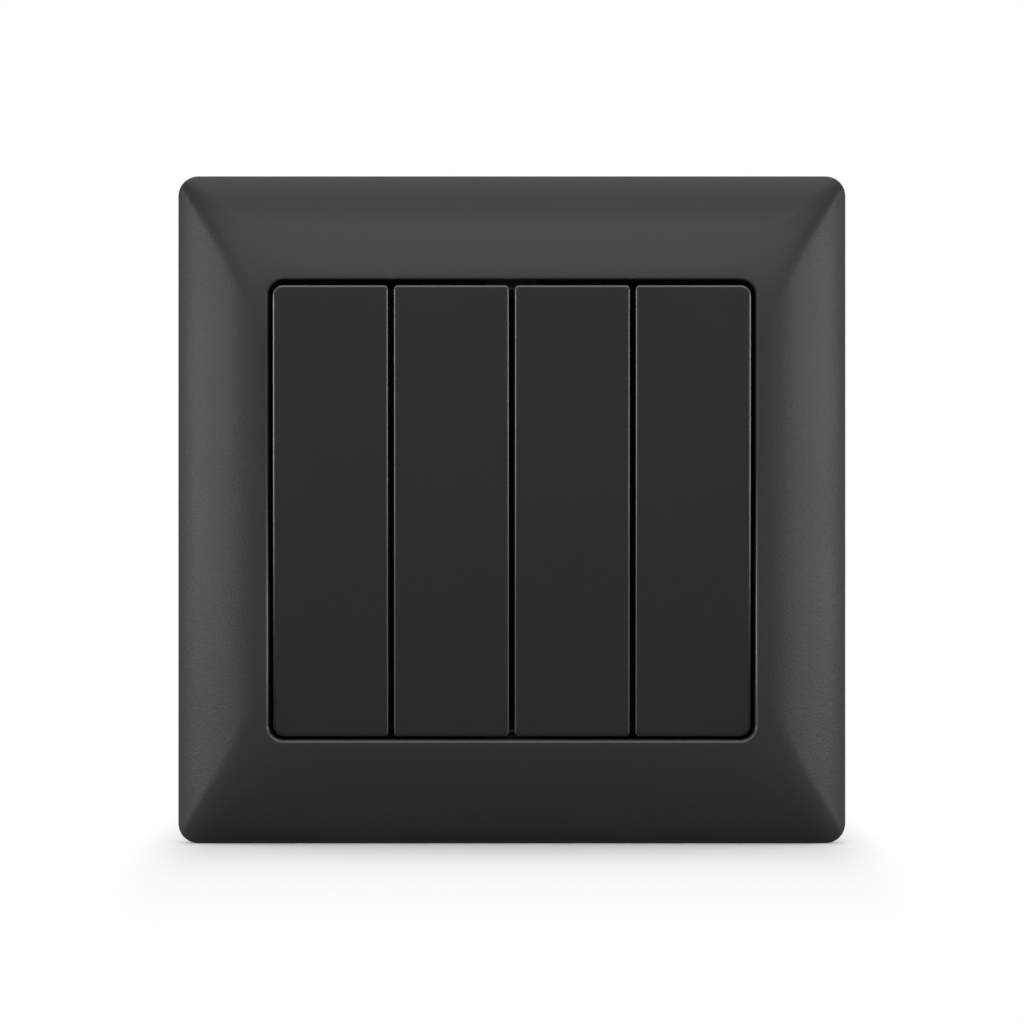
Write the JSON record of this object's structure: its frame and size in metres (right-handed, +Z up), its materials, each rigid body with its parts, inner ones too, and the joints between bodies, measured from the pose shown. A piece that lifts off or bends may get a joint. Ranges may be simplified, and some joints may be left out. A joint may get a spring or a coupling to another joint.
{
  "type": "multi-gang light switch",
  "caption": "Square flush wall light switch: a row of tall narrow rocker keys in a crowned black frame, with its plate, mechanism and screw terminals behind.",
  "frame": {"origin": "middle of the two box screws, on the wall's surface (the back of the support plate)", "axes": "+X to the right as seen from the room, +Y into the wall, +Z up"},
  "size_m": [0.082, 0.0309, 0.082],
  "materials": {
    "frame_black": "fine matte",
    "key_black": "fine matte",
    "carrier_black": "matte",
    "base_grey": "matte moulded",
    "lid_grey": "matte moulded",
    "rocker_white": "satin",
    "plunger_white": "satin",
    "zinc_steel": "zinc plated",
    "screw_steel": "zinc plated",
    "spring_steel": "drawn wire",
    "brass": "stamped",
    "silver": "satin"
  },
  "bodies": {
    "mechanism": {"cover_frame": "frame_black", "rocker_carrier": "carrier_black", "support_plate": "zinc_steel", "inner_lid": "lid_grey", "base_housing": "base_grey", "common_bus": "brass", "fixed_contacts": "silver", "terminal_clamps": "screw_steel", "terminal_screws": "screw_steel", "assembly_screws": "screw_steel", "load_strip_1": "brass", "load_strip_2": "brass", "load_strip_3": "brass", "load_strip_4": "brass"},
    "gang_1": {"key_1": "key_black", "rocker_1": "rocker_white", "plunger_1": "plunger_white", "plunger_spring_1": "spring_steel"},
    "contact_1": {"contact_arm_1": "brass", "contact_tip_1": "silver"},
    "gang_2": {"key_2": "key_black", "rocker_2": "rocker_white", "plunger_2": "plunger_white", "plunger_spring_2": "spring_steel"},
    "contact_2": {"contact_arm_2": "brass", "contact_tip_2": "silver"},
    "gang_3": {"key_3": "key_black", "rocker_3": "rocker_white", "plunger_3": "plunger_white", "plunger_spring_3": "spring_steel"},
    "contact_3": {"contact_arm_3": "brass", "contact_tip_3": "silver"},
    "gang_4": {"key_4": "key_black", "rocker_4": "rocker_white", "plunger_4": "plunger_white", "plunger_spring_4": "spring_steel"},
    "contact_4": {"contact_arm_4": "brass", "contact_tip_4": "silver"}
  },
  "joints": [
    {"name": "key_1_rock", "type": "hinge", "parent": "mechanism", "child": "gang_1", "pos_m": [-0.02214, -0.00584, 0], "axis": [-1, 0, 0], "range_deg": [0, 6]},
    {"name": "contact_1_tip", "type": "hinge", "parent": "mechanism", "child": "contact_1", "pos_m": [-0.02214, 0.0105, 0], "axis": [1, 0, 0], "range_deg": [0, 15]},
    {"name": "key_2_rock", "type": "hinge", "parent": "mechanism", "child": "gang_2", "pos_m": [-0.00738, -0.00584, 0], "axis": [-1, 0, 0], "range_deg": [0, 6]},
    {"name": "contact_2_tip", "type": "hinge", "parent": "mechanism", "child": "contact_2", "pos_m": [-0.00738, 0.0105, 0], "axis": [1, 0, 0], "range_deg": [0, 15]},
    {"name": "key_3_rock", "type": "hinge", "parent": "mechanism", "child": "gang_3", "pos_m": [0.00738, -0.00584, 0], "axis": [-1, 0, 0], "range_deg": [0, 6]},
    {"name": "contact_3_tip", "type": "hinge", "parent": "mechanism", "child": "contact_3", "pos_m": [0.00738, 0.0105, 0], "axis": [1, 0, 0], "range_deg": [0, 15]},
    {"name": "key_4_rock", "type": "hinge", "parent": "mechanism", "child": "gang_4", "pos_m": [0.02214, -0.00584, 0], "axis": [-1, 0, 0], "range_deg": [0, 6]},
    {"name": "contact_4_tip", "type": "hinge", "parent": "mechanism", "child": "contact_4", "pos_m": [0.02214, 0.0105, 0], "axis": [1, 0, 0], "range_deg": [0, 15]}
  ],
  "couplings": [
    {"joint": "contact_1_tip", "follows": "key_1_rock", "ratio": 2.5},
    {"joint": "contact_2_tip", "follows": "key_2_rock", "ratio": 2.5},
    {"joint": "contact_3_tip", "follows": "key_3_rock", "ratio": 2.5},
    {"joint": "contact_4_tip", "follows": "key_4_rock", "ratio": 2.5}
  ]
}
